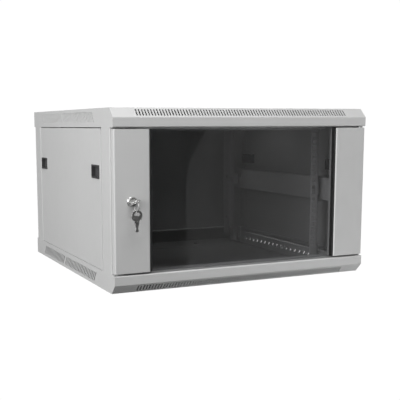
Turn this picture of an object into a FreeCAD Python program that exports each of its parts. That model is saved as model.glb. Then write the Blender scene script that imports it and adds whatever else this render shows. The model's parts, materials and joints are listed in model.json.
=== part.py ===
"""Wall-mount network cabinet for 19-inch equipment, six units high.

Folded steel frame, lift-off side panels held by slide latches, and a smoked
glass door between two steel strips with a cam lock, its key and a spare.

Axes: +Z up, the door faces -Y, +X is to the right seen from the front.
Origin: middle of the lower edge of the back, on the wall plane. Millimetres.
"""
import FreeCAD, Part
import math
import os
from FreeCAD import Vector

# ---------------------------------------------------------------- overall
WIDTH = 600.0
DEPTH = 600.0
HEIGHT = 370.0
SHEET = 1.5              # frame steel
BEND = 1.0               # inside radius of a fold
PIERCE = 3 * SHEET       # reach of a cut that goes right through one sheet
NEARLY = 1.01            # an edge up to this many times a length counts as that length

# ---------------------------------------------------------------- pans
PAN_HEIGHT = 38.5        # bottom pan and top cover are the same folded shell
CHAMFER_RUN = 18.5       # sloping front edge, measured along Y
CHAMFER_RISE = 19.0      # and along Z
FRONT_LEDGE = 55.0
REAR_LEDGE = 30.0
SIDE_LEDGE = 16.0
COVER_LIP = 7.0          # stiffening lip under the front ledge of the cover

SLOT_WIDTH = 3.3         # slots in the sloping edge
SLOT_LENGTH = 17.5
SLOT_PITCH = 6.5
SLOT_MARGIN = 50.0

VENT_WIDTH = 4.6         # leaning slots in the side walls
VENT_PITCH = 10.1
VENT_LOW = 7.0
VENT_HIGH = 28.0
VENT_LEAN = 16.0
VENT_FRONT = 112.5
VENT_REAR = 88.0
VENT_BRIDGE = 9.0        # extra steel between the front and the rear group
VENT_FRONT_SHARE = 0.565

ENTRY_LENGTH = 260.0     # cable entry at the back of both pans
ENTRY_DEPTH = 55.0
ENTRY_FROM_BACK = 48.0
ENTRY_OVERLAP = 12.0
ENTRY_SHEET = 1.2

FAN_HOLE_SPACING = 105.0
FAN_HOLE_R = 2.2
FAN_GRILLE_R = 53.0
FAN_SLOT_WIDTH = 5.0
FAN_SLOT_PITCH = 10.0
FAN_OFFSET = 100.0       # fan centres from the middle of the cover
FAN_FROM_BACK = 290.0

# ---------------------------------------------------------------- posts
POST_SETBACK = 18.5      # front posts stand this far behind the front plane
FRONT_POST_END = 71.5
REAR_POST_DEPTH = 59.0
POST_FRONT_FLANGE = 21.0
POST_LIP = 10.0
CORE_INSET = 38.0        # plane of the depth rails, braces and inner flanges
FOOT_SHEET = 3.0
FOOT_SCREW_INSET = 14.0
FOOT_SCREW_FRONT = 42.0
FOOT_SCREW_BACK = 22.0
REAR_INSET = 8.0         # posts and back panel stand this far before the wall plane

BACK_OVERLAP = 18.0      # back panel over the rear flanges
BACK_GAP = 0.3
BACK_SCREW_END = 30.0    # from the ends of the rear posts
WALL_HOLE_R = 4.5        # in the rear flanges, clear of the back panel
WALL_HOLE_INSET = 11.0
WALL_HOLE_SPACING = 220.0

# ---------------------------------------------------------------- inner steel
DEPTH_RAIL_HEIGHT = 35.0
DEPTH_RAIL_FOOT = 18.0
DEPTH_RAIL_GAP = 6.0     # from the ends of the rail to the front and rear posts
WINDOW_PITCH = 20.5
WINDOW_LENGTH = 9.0
WINDOW_HEIGHT = 8.0
WINDOW_Z = 17.3
WINDOW_FRONT = 154.5
WINDOW_REAR = 130.0

BRACE_HEIGHT = 54.0
BRACE_FLANGE = 14.0

RACK_UNIT = 44.45
UNITS = 6
RACK_HOLE_SPAN = 465.1   # between the hole lines of a 19-inch rack
RACK_OPENING = 450.0
RACK_HOLE = 9.5
RACK_HOLE_STEP = 15.875
RAIL_SHEET = 2.0
RAIL_FACE = 20.0
RAIL_SIDE = 25.0
RAIL_OVERRUN = 21.7      # rail beyond the first and last unit
FRONT_RAIL_Y = 97.0      # behind the front plane
REAR_RAIL_Y = 73.0       # before the wall plane

BRACKET_SHEET = 1.5
BRACKET_TALL = 42.0
BRACKET_MID = 28.0
BRACKET_END = 7.0        # from the inside of the pan
BRACKET_LEG = 17.0
BOLT_R = 3.0
BOLT_HOLE_R = 3.2
BOLT_HEAD_R = 5.4
BOLT_HEAD = 3.6
BOLT_HEAD_EDGE = 1.08    # slope round the top of the head
BOLT_EDGE = 7.5          # from a bracket's bolt to the end of its leg

# ---------------------------------------------------------------- side panels
PANEL_SHEET = 1.2
PANEL_GAP = 2.0
PANEL_TOP_GAP = 2.0
PANEL_BOTTOM_GAP = 0.5
PANEL_RETURN = 13.0

LATCH_LENGTH = 48.0
LATCH_HEIGHT = 28.0
LATCH_INSET = 33.0       # from the end of the panel to the middle of the latch
LATCH_UP = 241.0
LATCH_FLANGE = 1.5
LATCH_RIM = 2.0
LATCH_DEPTH = 15.0
LATCH_WALL = 1.6
LATCH_FIT = 0.3
POCKET_DEPTH = 6.0
POCKET_FLOOR = 1.8
THUMB_LENGTH = 10.0
THUMB_OFFSET = 9.4       # bar from the middle of the latch, towards the front
THUMB_PROUD = 0.8
STEM_LENGTH = 6.0
STEM_HEIGHT = 6.0
TONGUE_SHEET = 2.5
TONGUE_HEIGHT = 14.0
TONGUE_SETBACK = 0.3     # tip behind the edge of the panel when released
LATCH_TRAVEL = 5.6
STRIKE_GAP = 0.9

# ---------------------------------------------------------------- door
DOOR_SIDE_GAP = 1.2
DOOR_TOP_GAP = 3.2
DOOR_BOTTOM_GAP = 4.2
DOOR_DEPTH = 15.0
STRIP_WIDTH = 76.0
STRIP_SHEET = 1.2
STRIP_BEND = 1.6
GLASS_SETBACK = 3.5
GLASS_SHEET = 4.0
GLASS_ARRIS = 0.8
SEAT_WIDTH = 6.5
SEAL_WEB = 1.4
SEAL_LIP = 2.6
SEAL_BACK = 1.0
SEAL_FIT = 0.1

PIN_R = 3.0
PIN_X_INSET = 7.0        # pivot from the outer edge of the door
PIN_Y = 7.5
PIN_REACH = 12.0
PIN_TAIL = 3.0
COLLAR_R = 5.0
BUSH_WALL = 1.6
BUSH_LENGTH = 9.0
BUSH_FLANGE = 1.0
RUNNING = 0.05
HINGE_CLEAR = 0.3

# ---------------------------------------------------------------- lock
LOCK_INSET = 36.8        # from the outer edge of the door
LOCK_UP = 186.0
LOCK_FLANGE_R = 10.75
LOCK_FACE_R = 8.6
LOCK_PROUD = 5.0
LOCK_RIM = LOCK_PROUD / 3
BARREL_R = 9.0
BARREL_LENGTH = 20.5
BARREL_FIT = 0.15
PLUG_R = 6.0
PLUG_PROUD = 0.5
NUT_FLATS = 23.0
HEXAGON = 6
NUT_HEIGHT = 4.0
CAM_LENGTH = 26.0
CAM_WIDTH = 12.0
CAM_SHEET = 2.5
CAM_SQUARE = 6.0
CAM_FIT = 0.1
CAM_REST = 66.0          # turn from the released cam to the latched one, degrees
CAM_SCREW_R = 2.0
CAM_SCREW_HEAD_R = 4.5
CAM_SCREW_HEAD = 2.6
CAM_SCREW_LENGTH = 8.0

KEY_SHEET = 2.0
KEY_BOW_WIDTH = 22.0
KEY_BOW_LENGTH = 20.0
KEY_BOW_CORNER = 7.5
KEY_RIM = 3.2
KEY_EYE_LENGTH = 11.0
KEY_EYE_HEIGHT = 6.5
KEY_BLADE = 22.0
KEY_ROOT = 9.4
KEY_WAIST = 3.8
KEY_WAIST_AT = 16.0
KEY_TIP = 6.8
KEY_SHOULDER_GAP = 1.5
KEYWAY_FIT = 0.2
KEY_TILT = 24.0          # of the bow from horizontal, degrees
RING_R = 11.0            # middle of the wire
RING_WIRE = 1.4
RING_DROP = 8.4          # from the bow down to the middle of the ring
RING_BACK = 0.3          # middle of the ring behind the end of the bow
SPARE_SLACK = 0.3

# ---------------------------------------------------------------- derived places
HALF = WIDTH / 2
FRONT = -DEPTH
LOW = PAN_HEIGHT                     # top of the bottom pan
HIGH = HEIGHT - PAN_HEIGHT           # underside of the top cover
CORE = HALF - CORE_INSET
MIDDLE_Z = HEIGHT / 2
RAIL_X = RACK_OPENING / 2 + RAIL_FACE
RAIL_LOW = MIDDLE_Z - UNITS * RACK_UNIT / 2 - RAIL_OVERRUN
RAIL_HIGH = MIDDLE_Z + UNITS * RACK_UNIT / 2 + RAIL_OVERRUN
REAR_POST = -REAR_POST_DEPTH
PANEL_FRONT = FRONT + FRONT_POST_END + PANEL_GAP
PANEL_BACK = REAR_POST - PANEL_GAP
PANEL_LOW = LOW + PANEL_BOTTOM_GAP
PANEL_HIGH = HIGH - PANEL_TOP_GAP
TONGUE_W = POCKET_DEPTH + POCKET_FLOOR + LATCH_FIT
DOOR_HALF = HALF - DOOR_SIDE_GAP
DOOR_LOW = LOW + DOOR_BOTTOM_GAP
DOOR_HIGH = HIGH - DOOR_TOP_GAP
GLASS_X = DOOR_HALF - STRIP_WIDTH
SEAT_Y = GLASS_SETBACK + GLASS_SHEET + SEAL_BACK
POST_BACK = -REAR_INSET
PIN_X = DOOR_HALF - PIN_X_INSET
LOCK_X = -DOOR_HALF + LOCK_INSET
CAM_TURN = 180.0 - CAM_REST          # direction of the released cam, from +X
KEY_END = LOCK_PROUD + PLUG_PROUD + KEY_SHOULDER_GAP + KEY_BOW_LENGTH
RING_Y = FRONT - KEY_END + RING_BACK
RING_Z = LOCK_UP - RING_DROP

RAIL_FACES = ((FRONT + FRONT_RAIL_Y, 1), (-REAR_RAIL_Y, -1))   # face, and way inward
RAIL_BOLT = "rail"       # bolt through the rail's side flange
WEB_BOLT = "web"         # bolt through the depth rail or brace

X_AXIS = Vector(1, 0, 0)
Y_AXIS = Vector(0, 1, 0)
Z_AXIS = Vector(0, 0, 1)


# ================================================================ helpers
def box(x0, x1, y0, y1, z0, z1):
    """Block between two corners, given in any order."""
    low = Vector(min(x0, x1), min(y0, y1), min(z0, z1))
    size = Vector(abs(x1 - x0), abs(y1 - y0), abs(z1 - z0))
    return Part.makeBox(size.x, size.y, size.z, low)


def rod(radius, start, along, length):
    return Part.makeCylinder(radius, length, start, along)


def joined(shapes):
    return shapes[0].multiFuse(shapes[1:]).removeSplitter()


def mirror_x(shape):
    return shape.mirror(Vector(0, 0, 0), X_AXIS)


def mirror_z(shape):
    """The same piece turned over about the mid height of the cabinet."""
    return shape.mirror(Vector(0, 0, MIDDLE_Z), Z_AXIS)


def line_edges(points, radii):
    """Edges of an open line whose inner corners are rounded to radii."""
    edges = []
    last = points[0]
    for before, corner, after, radius in zip(points, points[1:], points[2:], radii):
        if radius <= 0:
            edges.append(Part.LineSegment(last, corner).toShape())
            last = corner
            continue
        into = (corner - before).normalize()
        out = (after - corner).normalize()
        turn = into.getAngle(out)
        reach = radius * math.tan(turn / 2)
        start = corner - into * reach
        end = corner + out * reach
        centre_way = (out - into).normalize()
        middle = corner + centre_way * (radius / math.cos(turn / 2) - radius)
        edges.append(Part.LineSegment(last, start).toShape())
        edges.append(Part.Arc(start, middle, end).toShape())
        last = end
    edges.append(Part.LineSegment(last, points[-1]).toShape())
    return edges


def offset_line(points, distance, normal):
    """The line moved sideways by distance, with mitred corners."""
    sides = []
    for start, end in zip(points, points[1:]):
        sides.append(normal.cross((end - start).normalize()) * distance)
    moved = [points[0] + sides[0]]
    for corner, first, second in zip(points[1:-1], sides, sides[1:]):
        both = first + second
        moved.append(corner + both * (2 * distance ** 2 / both.dot(both)))
    moved.append(points[-1] + sides[-1])
    return moved


def folded(points, thickness, normal, bend, sharp=()):
    """Face of a sheet folded along points; its thickness lies to the left.

    Corners whose index is in sharp keep a square edge.
    """
    inside = offset_line(points, thickness, normal)
    near, far = [], []
    for index in range(1, len(points) - 1):
        into = points[index] - points[index - 1]
        out = points[index + 1] - points[index]
        left_turn = normal.dot(into.cross(out)) > 0
        inner = 0 if index in sharp else bend
        outer = 0 if index in sharp else bend + abs(thickness)
        left_is_inner = left_turn == (thickness > 0)
        near.append(outer if left_is_inner else inner)
        far.append(inner if left_is_inner else outer)
    edges = line_edges(points, near)
    edges.append(Part.LineSegment(points[-1], inside[-1]).toShape())
    edges += line_edges(inside[::-1], far[::-1])
    edges.append(Part.LineSegment(inside[0], points[0]).toShape())
    return Part.Face(Part.Wire(Part.__sortEdges__(edges)))


def plan(points, z):
    """Points of a plan outline (x, y) at a height."""
    return [Vector(x, y, z) for x, y in points]


def section(points, x):
    """Points of a side outline (y, z) at a width."""
    return [Vector(x, y, z) for y, z in points]


def polygon_prism(points, along):
    return Part.Face(Part.makePolygon(points + [points[0]])).extrude(along)


def export(name, *shapes):
    solids = [solid for shape in shapes for solid in shape.Solids]
    whole = solids[0] if len(solids) == 1 else Part.makeCompound(solids)
    whole.exportStep("parts/%s.step" % name)


# ================================================================ pans
def pan_outline(x):
    """Outer line of the bottom pan from the rear ledge round to the front one."""
    return section([
        (-REAR_LEDGE, PAN_HEIGHT),
        (0, PAN_HEIGHT),
        (0, 0),
        (FRONT + CHAMFER_RUN, 0),
        (FRONT, CHAMFER_RISE),
        (FRONT, PAN_HEIGHT),
        (FRONT + FRONT_LEDGE, PAN_HEIGHT),
    ], x)


def pan_end_plate(x):
    points = pan_outline(x)[1:-1]
    outer = BEND + SHEET
    edges = line_edges(points, [0, outer, outer])
    edges.append(Part.LineSegment(points[-1], points[0]).toShape())
    plate = Part.Face(Part.Wire(Part.__sortEdges__(edges)))
    return plate.extrude(Vector(-math.copysign(SHEET, x), 0, 0))


def front_slots():
    """Slots up the sloping edge, square to the cabinet's width."""
    slope = math.degrees(math.atan2(CHAMFER_RISE, CHAMFER_RUN))
    count = int((WIDTH - 2 * SLOT_MARGIN) / SLOT_PITCH) + 1
    first = -(count - 1) * SLOT_PITCH / 2
    middle = Vector(0, FRONT + CHAMFER_RUN / 2, CHAMFER_RISE / 2)
    slots = []
    for index in range(count):
        slot = Part.makeBox(
            SLOT_WIDTH, SLOT_LENGTH, 2 * PIERCE,
            Vector(first + index * SLOT_PITCH - SLOT_WIDTH / 2, -SLOT_LENGTH / 2, -PIERCE))
        slot.rotate(Vector(0, 0, 0), X_AXIS, -slope)
        slot.translate(middle)
        slots.append(slot)
    return slots


def side_vents():
    """Leaning slots through both side walls; they lean forward at the top."""
    count = int((DEPTH - VENT_FRONT - VENT_REAR - VENT_BRIDGE) / VENT_PITCH) + 1
    front_group = round(count * VENT_FRONT_SHARE)
    vents = []
    for side in (-1, 1):
        for index in range(count):
            bridge = VENT_BRIDGE if index >= front_group else 0
            top = FRONT + VENT_FRONT + index * VENT_PITCH + bridge
            outline = section([
                (top, VENT_HIGH),
                (top + VENT_WIDTH, VENT_HIGH),
                (top + VENT_WIDTH + VENT_LEAN, VENT_LOW),
                (top + VENT_LEAN, VENT_LOW),
            ], side * (HALF - 2 * SHEET))
            vents.append(polygon_prism(outline, Vector(side * PIERCE, 0, 0)))
    return vents


def entry_centre():
    return -ENTRY_FROM_BACK - ENTRY_DEPTH / 2


def entry_screw_places():
    across = ENTRY_LENGTH / 2 + ENTRY_OVERLAP / 2
    return [Vector(x, entry_centre(), 0) for x in (-across, across)]


def foot_screw_places():
    places = []
    for x in (-HALF + FOOT_SCREW_INSET, HALF - FOOT_SCREW_INSET):
        places.append(Vector(x, FRONT + FOOT_SCREW_FRONT, 0))
        places.append(Vector(x, -FOOT_SCREW_BACK, 0))
    return places


def pan():
    """The folded shell as it lies at the bottom."""
    points = pan_outline(-HALF)
    body = folded(points, -SHEET, X_AXIS, BEND, sharp=(1, 2)).extrude(Vector(WIDTH, 0, 0))
    ledges = [
        box(side * (HALF - SIDE_LEDGE), side * HALF, FRONT + FRONT_LEDGE - SHEET,
            -REAR_LEDGE + SHEET, PAN_HEIGHT - SHEET, PAN_HEIGHT)
        for side in (-1, 1)]
    shell = joined([body, pan_end_plate(-HALF), pan_end_plate(HALF)] + ledges)
    holes = front_slots() + side_vents()
    y = entry_centre()
    holes.append(box(-ENTRY_LENGTH / 2, ENTRY_LENGTH / 2, y - ENTRY_DEPTH / 2,
                     y + ENTRY_DEPTH / 2, -SHEET, 2 * SHEET))
    for place in entry_screw_places():
        holes.append(rod(BOLT_HOLE_R, place - Z_AXIS * SHEET, Z_AXIS, PIERCE))
    for place in foot_screw_places():
        holes.append(rod(BOLT_HOLE_R, place + Z_AXIS * (PAN_HEIGHT - 2 * SHEET), Z_AXIS, PIERCE))
    holes.append(rod(PIN_R + RUNNING, Vector(PIN_X, FRONT + PIN_Y, PAN_HEIGHT - 2 * SHEET),
                     Z_AXIS, PIERCE))
    return shell.cut(holes)


def fan_centres():
    return [Vector(x, -FAN_FROM_BACK, HEIGHT) for x in (-FAN_OFFSET, FAN_OFFSET)]


def fan_openings():
    """Slotted round grilles with a four-hole pattern for the fans."""
    cuts = []
    half = FAN_HOLE_SPACING / 2
    rows = int(FAN_GRILLE_R / FAN_SLOT_PITCH)
    for centre in fan_centres():
        for row in range(-rows, rows + 1):
            y = centre.y + row * FAN_SLOT_PITCH
            reach = math.sqrt(FAN_GRILLE_R ** 2 - (row * FAN_SLOT_PITCH) ** 2)
            cuts.append(box(centre.x - reach, centre.x + reach, y - FAN_SLOT_WIDTH / 2,
                            y + FAN_SLOT_WIDTH / 2, HEIGHT - 2 * SHEET, HEIGHT + SHEET))
        for dx in (-half, half):
            for dy in (-half, half):
                corner = centre + Vector(dx, dy, -2 * SHEET)
                cuts.append(rod(FAN_HOLE_R, corner, Z_AXIS, PIERCE))
    return cuts


def top_cover():
    cover = mirror_z(pan()).cut(fan_openings())
    lip = box(-CORE, CORE, FRONT + FRONT_LEDGE - SHEET, FRONT + FRONT_LEDGE,
              HIGH - COVER_LIP, HIGH + SHEET)
    return joined([cover, lip])


def entry_plate():
    """Removable blanking plate, lying inside the pan over the cable entry."""
    y = entry_centre()
    wide = ENTRY_LENGTH / 2 + ENTRY_OVERLAP
    deep = ENTRY_DEPTH / 2 + ENTRY_OVERLAP / 2
    plate = box(-wide, wide, y - deep, y + deep, SHEET, SHEET + ENTRY_SHEET)
    holes = [rod(BOLT_HOLE_R, place, Z_AXIS, PIERCE) for place in entry_screw_places()]
    return plate.cut(holes)


def cap_screw(place, out, grip):
    """Screw whose head sits on place, pointing out, with its shank the other way."""
    head = Part.makeCylinder(BOLT_HEAD_R, BOLT_HEAD, place, out)
    top = max(head.Edges, key=lambda edge: (edge.CenterOfMass - place).dot(out))
    head = head.makeChamfer(BOLT_HEAD_EDGE, [top])
    shank = Part.makeCylinder(BOLT_R, grip, place, out * -1)
    return head.fuse(shank).removeSplitter()


def entry_screws():
    grip = SHEET + ENTRY_SHEET
    screws = [cap_screw(place + Z_AXIS * grip, Z_AXIS, grip) for place in entry_screw_places()]
    return screws + [mirror_z(screw) for screw in screws]


def foot_screws():
    grip = SHEET + FOOT_SHEET
    low = [cap_screw(place + Z_AXIS * (LOW - SHEET), Z_AXIS * -1, grip)
           for place in foot_screw_places()]
    return low + [mirror_z(screw) for screw in low]


# ================================================================ posts
def strike(side, y):
    """Slot that a latch tongue slides through."""
    outer = HALF - TONGUE_W + STRIKE_GAP
    inner = HALF - TONGUE_W - TONGUE_SHEET - STRIKE_GAP
    tall = TONGUE_HEIGHT / 2 + STRIKE_GAP
    return box(side * outer, side * inner, y - 2 * SHEET, y + 2 * SHEET,
               LATCH_UP - tall, LATCH_UP + tall)


def foot_plates(y0, y1, screw_y):
    """Welded plates that close both ends of a right-hand post."""
    plate = box(CORE + SHEET, HALF - SHEET, y0, y1, LOW, LOW + FOOT_SHEET)
    hole = rod(BOLT_HOLE_R, Vector(HALF - FOOT_SCREW_INSET, screw_y, LOW - SHEET), Z_AXIS,
               FOOT_SHEET + 2 * SHEET)
    plate = plate.cut(hole)
    return [plate, mirror_z(plate)]


def front_post():
    """Right-hand front post: a channel open towards the middle."""
    y = FRONT + POST_SETBACK
    back = FRONT + FRONT_POST_END
    outline = plan([
        (HALF - POST_FRONT_FLANGE, y),
        (HALF, y),
        (HALF, back),
        (CORE, back),
        (CORE, back - POST_LIP),
    ], LOW)
    channel = folded(outline, SHEET, Z_AXIS, BEND).extrude(Z_AXIS * (HIGH - LOW))
    plates = foot_plates(y + SHEET, back - SHEET, FRONT + FOOT_SCREW_FRONT)
    return joined([channel] + plates).cut(strike(1, back))


def rear_post():
    """Right-hand rear post, with the flange that the back panel screws to."""
    outline = plan([
        (CORE, REAR_POST + POST_LIP),
        (CORE, REAR_POST),
        (HALF, REAR_POST),
        (HALF, POST_BACK),
        (CORE, POST_BACK),
    ], LOW)
    channel = folded(outline, SHEET, Z_AXIS, BEND).extrude(Z_AXIS * (HIGH - LOW))
    plates = foot_plates(REAR_POST + SHEET, POST_BACK - 2 * SHEET, -FOOT_SCREW_BACK)
    holes = [strike(1, REAR_POST)]
    holes += [hole for hole in back_screw_holes() if hole.BoundBox.XMin > 0]
    for dz in (-WALL_HOLE_SPACING / 2, WALL_HOLE_SPACING / 2):
        start = Vector(HALF - WALL_HOLE_INSET, POST_BACK - 2 * SHEET, MIDDLE_Z + dz)
        holes.append(rod(WALL_HOLE_R, start, Y_AXIS, PIERCE))
    return joined([channel] + plates).cut(holes)


def back_screw_places():
    x = CORE + BACK_OVERLAP / 2
    heights = (LOW + BACK_SCREW_END, MIDDLE_Z, HIGH - BACK_SCREW_END)
    return [Vector(side * x, POST_BACK - 2 * SHEET, z) for side in (-1, 1) for z in heights]


def back_screw_holes():
    return [rod(BOLT_HOLE_R, place - Y_AXIS * SHEET, Y_AXIS, 4 * SHEET)
            for place in back_screw_places()]


def back_panel():
    wide = CORE + BACK_OVERLAP
    panel = box(-wide, wide, POST_BACK - 2 * SHEET, POST_BACK - SHEET,
                LOW + BACK_GAP, HIGH - BACK_GAP)
    return panel.cut(back_screw_holes())


def back_screws():
    return [cap_screw(place, Y_AXIS * -1, 2 * SHEET - BACK_GAP) for place in back_screw_places()]


# ================================================================ inner steel
def depth_rail():
    """Right-hand bottom rail: an upright web with windows, on a welded foot."""
    y0 = FRONT + FRONT_POST_END + DEPTH_RAIL_GAP
    y1 = REAR_POST - DEPTH_RAIL_GAP
    outline = [
        Vector(CORE + SHEET + DEPTH_RAIL_FOOT, y0, SHEET),
        Vector(CORE, y0, SHEET),
        Vector(CORE, y0, SHEET + DEPTH_RAIL_HEIGHT),
    ]
    rail = folded(outline, -SHEET, Y_AXIS * -1, BEND).extrude(Y_AXIS * (y1 - y0))
    count = int((DEPTH - WINDOW_FRONT - WINDOW_REAR) / WINDOW_PITCH) + 1
    windows = []
    for index in range(count):
        y = FRONT + WINDOW_FRONT + index * WINDOW_PITCH
        windows.append(box(CORE - SHEET, CORE + 2 * SHEET, y - WINDOW_LENGTH / 2,
                           y + WINDOW_LENGTH / 2, WINDOW_Z, WINDOW_Z + WINDOW_HEIGHT))
    holes = bracket_bolt_holes(WEB_BOLT)
    return rail.cut(windows + holes)


def brace():
    """Right-hand mid brace: a channel between the front and rear posts."""
    y0 = FRONT + FRONT_POST_END
    outline = [
        Vector(CORE + SHEET + BRACE_FLANGE, y0, MIDDLE_Z + BRACE_HEIGHT / 2),
        Vector(CORE, y0, MIDDLE_Z + BRACE_HEIGHT / 2),
        Vector(CORE, y0, MIDDLE_Z - BRACE_HEIGHT / 2),
        Vector(CORE + SHEET + BRACE_FLANGE, y0, MIDDLE_Z - BRACE_HEIGHT / 2),
    ]
    channel = folded(outline, SHEET, Y_AXIS * -1, BEND).extrude(Y_AXIS * (REAR_POST - y0))
    return channel.cut(bracket_bolt_holes(WEB_BOLT))


def rail_hole_heights():
    """Three holes to each unit, 15.875, 15.875 and 12.7 apart."""
    heights = []
    for unit in range(UNITS):
        middle = MIDDLE_Z + (unit - (UNITS - 1) / 2) * RACK_UNIT
        heights += [middle - RACK_HOLE_STEP, middle, middle + RACK_HOLE_STEP]
    return heights


def rack_rail(face_y, inward):
    """Right-hand rack rail; inward is the way its side flange points along Y."""
    outline = plan([
        (RACK_OPENING / 2, face_y),
        (RAIL_X, face_y),
        (RAIL_X, face_y + inward * RAIL_SIDE),
    ], RAIL_LOW)
    rail = folded(outline, inward * RAIL_SHEET, Z_AXIS, BEND)
    rail = rail.extrude(Z_AXIS * (RAIL_HIGH - RAIL_LOW))
    x = RACK_HOLE_SPAN / 2
    half = RACK_HOLE / 2
    holes = [box(x - half, x + half, face_y - 2 * RAIL_SHEET, face_y + 2 * RAIL_SHEET,
                 z - half, z + half) for z in rail_hole_heights()]
    return rail.cut(holes + bracket_bolt_holes(RAIL_BOLT))


def bracket_levels():
    """Low and high end of each bracket on a rail: bottom, middle and top."""
    low = SHEET + BRACKET_END
    return (
        (low, low + BRACKET_TALL),
        (MIDDLE_Z - BRACKET_MID / 2, MIDDLE_Z + BRACKET_MID / 2),
        (HEIGHT - low - BRACKET_TALL, HEIGHT - low),
    )


def bracket_bolt_levels():
    """Height of the bolt in the rail and of the one in the web, per bracket."""
    (low0, low1), _, (top0, top1) = bracket_levels()
    return ((low1 - BOLT_EDGE, low0 + BOLT_EDGE), (MIDDLE_Z, MIDDLE_Z),
            (top0 + BOLT_EDGE, top1 - BOLT_EDGE))


def bracket_legs(face_y, inward):
    """Places along Y: end of the rail leg, and end of the web leg."""
    turn = face_y + inward * (RAIL_SHEET + BRACKET_LEG)
    return turn, turn + inward * BRACKET_LEG


def bracket(face_y, inward, low, high):
    """Step-shaped bracket from the rail's side flange out to the web."""
    turn, end = bracket_legs(face_y, inward)
    outline = plan([
        (RAIL_X, turn - inward * BRACKET_LEG),
        (RAIL_X, turn),
        (CORE - BRACKET_SHEET, turn),
        (CORE - BRACKET_SHEET, end),
    ], low)
    step = folded(outline, -inward * BRACKET_SHEET, Z_AXIS, BEND)
    return step.extrude(Z_AXIS * (high - low))


def bolt_spots(kind):
    """Where bolts cross the rail flange or the web, on the right-hand side."""
    spots = []
    for face_y, inward in RAIL_FACES:
        turn, end = bracket_legs(face_y, inward)
        if kind == RAIL_BOLT:
            y = turn - inward * BRACKET_LEG / 2
            x = RAIL_X
        else:
            y = (turn + end) / 2
            x = CORE
        for rail_z, web_z in bracket_bolt_levels():
            spots.append(Vector(x, y, rail_z if kind == RAIL_BOLT else web_z))
    return spots


def bracket_bolt_holes(kind):
    reach = PIERCE
    return [rod(BOLT_HOLE_R, spot - X_AXIS * reach, X_AXIS, 2 * reach) for spot in bolt_spots(kind)]


def rail_brackets():
    """All brackets of the right-hand side."""
    holes = bracket_bolt_holes(RAIL_BOLT) + bracket_bolt_holes(WEB_BOLT)
    pieces = []
    for face_y, inward in RAIL_FACES:
        for low, high in bracket_levels():
            pieces.append(bracket(face_y, inward, low, high).cut(holes))
    return pieces


def bracket_bolts():
    """Bolts of the right-hand brackets; heads point to the middle."""
    bolts = []
    for spot in bolt_spots(RAIL_BOLT):
        seat = spot - X_AXIS * RAIL_SHEET
        bolts.append(cap_screw(seat, X_AXIS * -1, RAIL_SHEET + BRACKET_SHEET))
    for spot in bolt_spots(WEB_BOLT):
        seat = spot - X_AXIS * BRACKET_SHEET
        bolts.append(cap_screw(seat, X_AXIS * -1, BRACKET_SHEET + SHEET))
    return bolts


# ================================================================ side panels
def latch_placed(shape, at_front):
    """Move a latch piece from its own frame to the right-hand panel.

    In its own frame X points out of the panel from its outer face, Y points
    away from the nearest post and Z is measured from the latch's middle.
    """
    if at_front:
        return shape.translated(Vector(HALF, PANEL_FRONT + LATCH_INSET, LATCH_UP))
    turned = shape.mirror(Vector(0, 0, 0), Y_AXIS)
    return turned.translated(Vector(HALF, PANEL_BACK - LATCH_INSET, LATCH_UP))


def latch_case(thumb):
    """Case with its thumb pocket; thumb is the place of the bar along Y."""
    length = LATCH_LENGTH / 2
    tall = LATCH_HEIGHT / 2
    case_length = length - LATCH_RIM
    case_tall = tall - LATCH_RIM
    flange = box(0, LATCH_FLANGE, -length, length, -tall, tall)
    corners = [edge for edge in flange.Edges if edge.Length < LATCH_FLANGE * NEARLY]
    flange = flange.makeFillet(LATCH_RIM, corners)
    case = box(-LATCH_DEPTH, 0, -case_length, case_length, -case_tall, case_tall)
    pocket_length = case_length - LATCH_WALL
    pocket_tall = case_tall - LATCH_WALL
    pocket = box(-POCKET_DEPTH, LATCH_FLANGE, -pocket_length, pocket_length,
                 -pocket_tall, pocket_tall)
    stem_front = thumb - STEM_LENGTH / 2
    slot = box(-TONGUE_W, -POCKET_DEPTH, stem_front - LATCH_TRAVEL - LATCH_FIT,
               stem_front + STEM_LENGTH + LATCH_FIT,
               -STEM_HEIGHT / 2 - LATCH_FIT, STEM_HEIGHT / 2 + LATCH_FIT)
    tunnel = box(-TONGUE_W + LATCH_FIT, -TONGUE_W - TONGUE_SHEET - LATCH_FIT, -case_length,
                 thumb + STEM_LENGTH + LATCH_FIT, -TONGUE_HEIGHT / 2 - LATCH_FIT,
                 TONGUE_HEIGHT / 2 + LATCH_FIT)
    return joined([flange, case]).cut([pocket, slot, tunnel])


def latch_slider(thumb):
    """Thumb bar, stem and tongue in one piece, in the released place."""
    pocket_tall = LATCH_HEIGHT / 2 - LATCH_RIM - LATCH_WALL
    bar = box(-POCKET_DEPTH + LATCH_FIT, -THUMB_PROUD, thumb - THUMB_LENGTH / 2,
              thumb + THUMB_LENGTH / 2, -pocket_tall + LATCH_FIT, pocket_tall - LATCH_FIT)
    stem = box(-TONGUE_W, -POCKET_DEPTH + LATCH_FIT, thumb - STEM_LENGTH / 2,
               thumb + STEM_LENGTH / 2, -STEM_HEIGHT / 2, STEM_HEIGHT / 2)
    tongue = box(-TONGUE_W, -TONGUE_W - TONGUE_SHEET, -LATCH_INSET + TONGUE_SETBACK,
                 thumb + STEM_LENGTH, -TONGUE_HEIGHT / 2, TONGUE_HEIGHT / 2)
    return joined([bar, stem, tongue])


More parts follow.
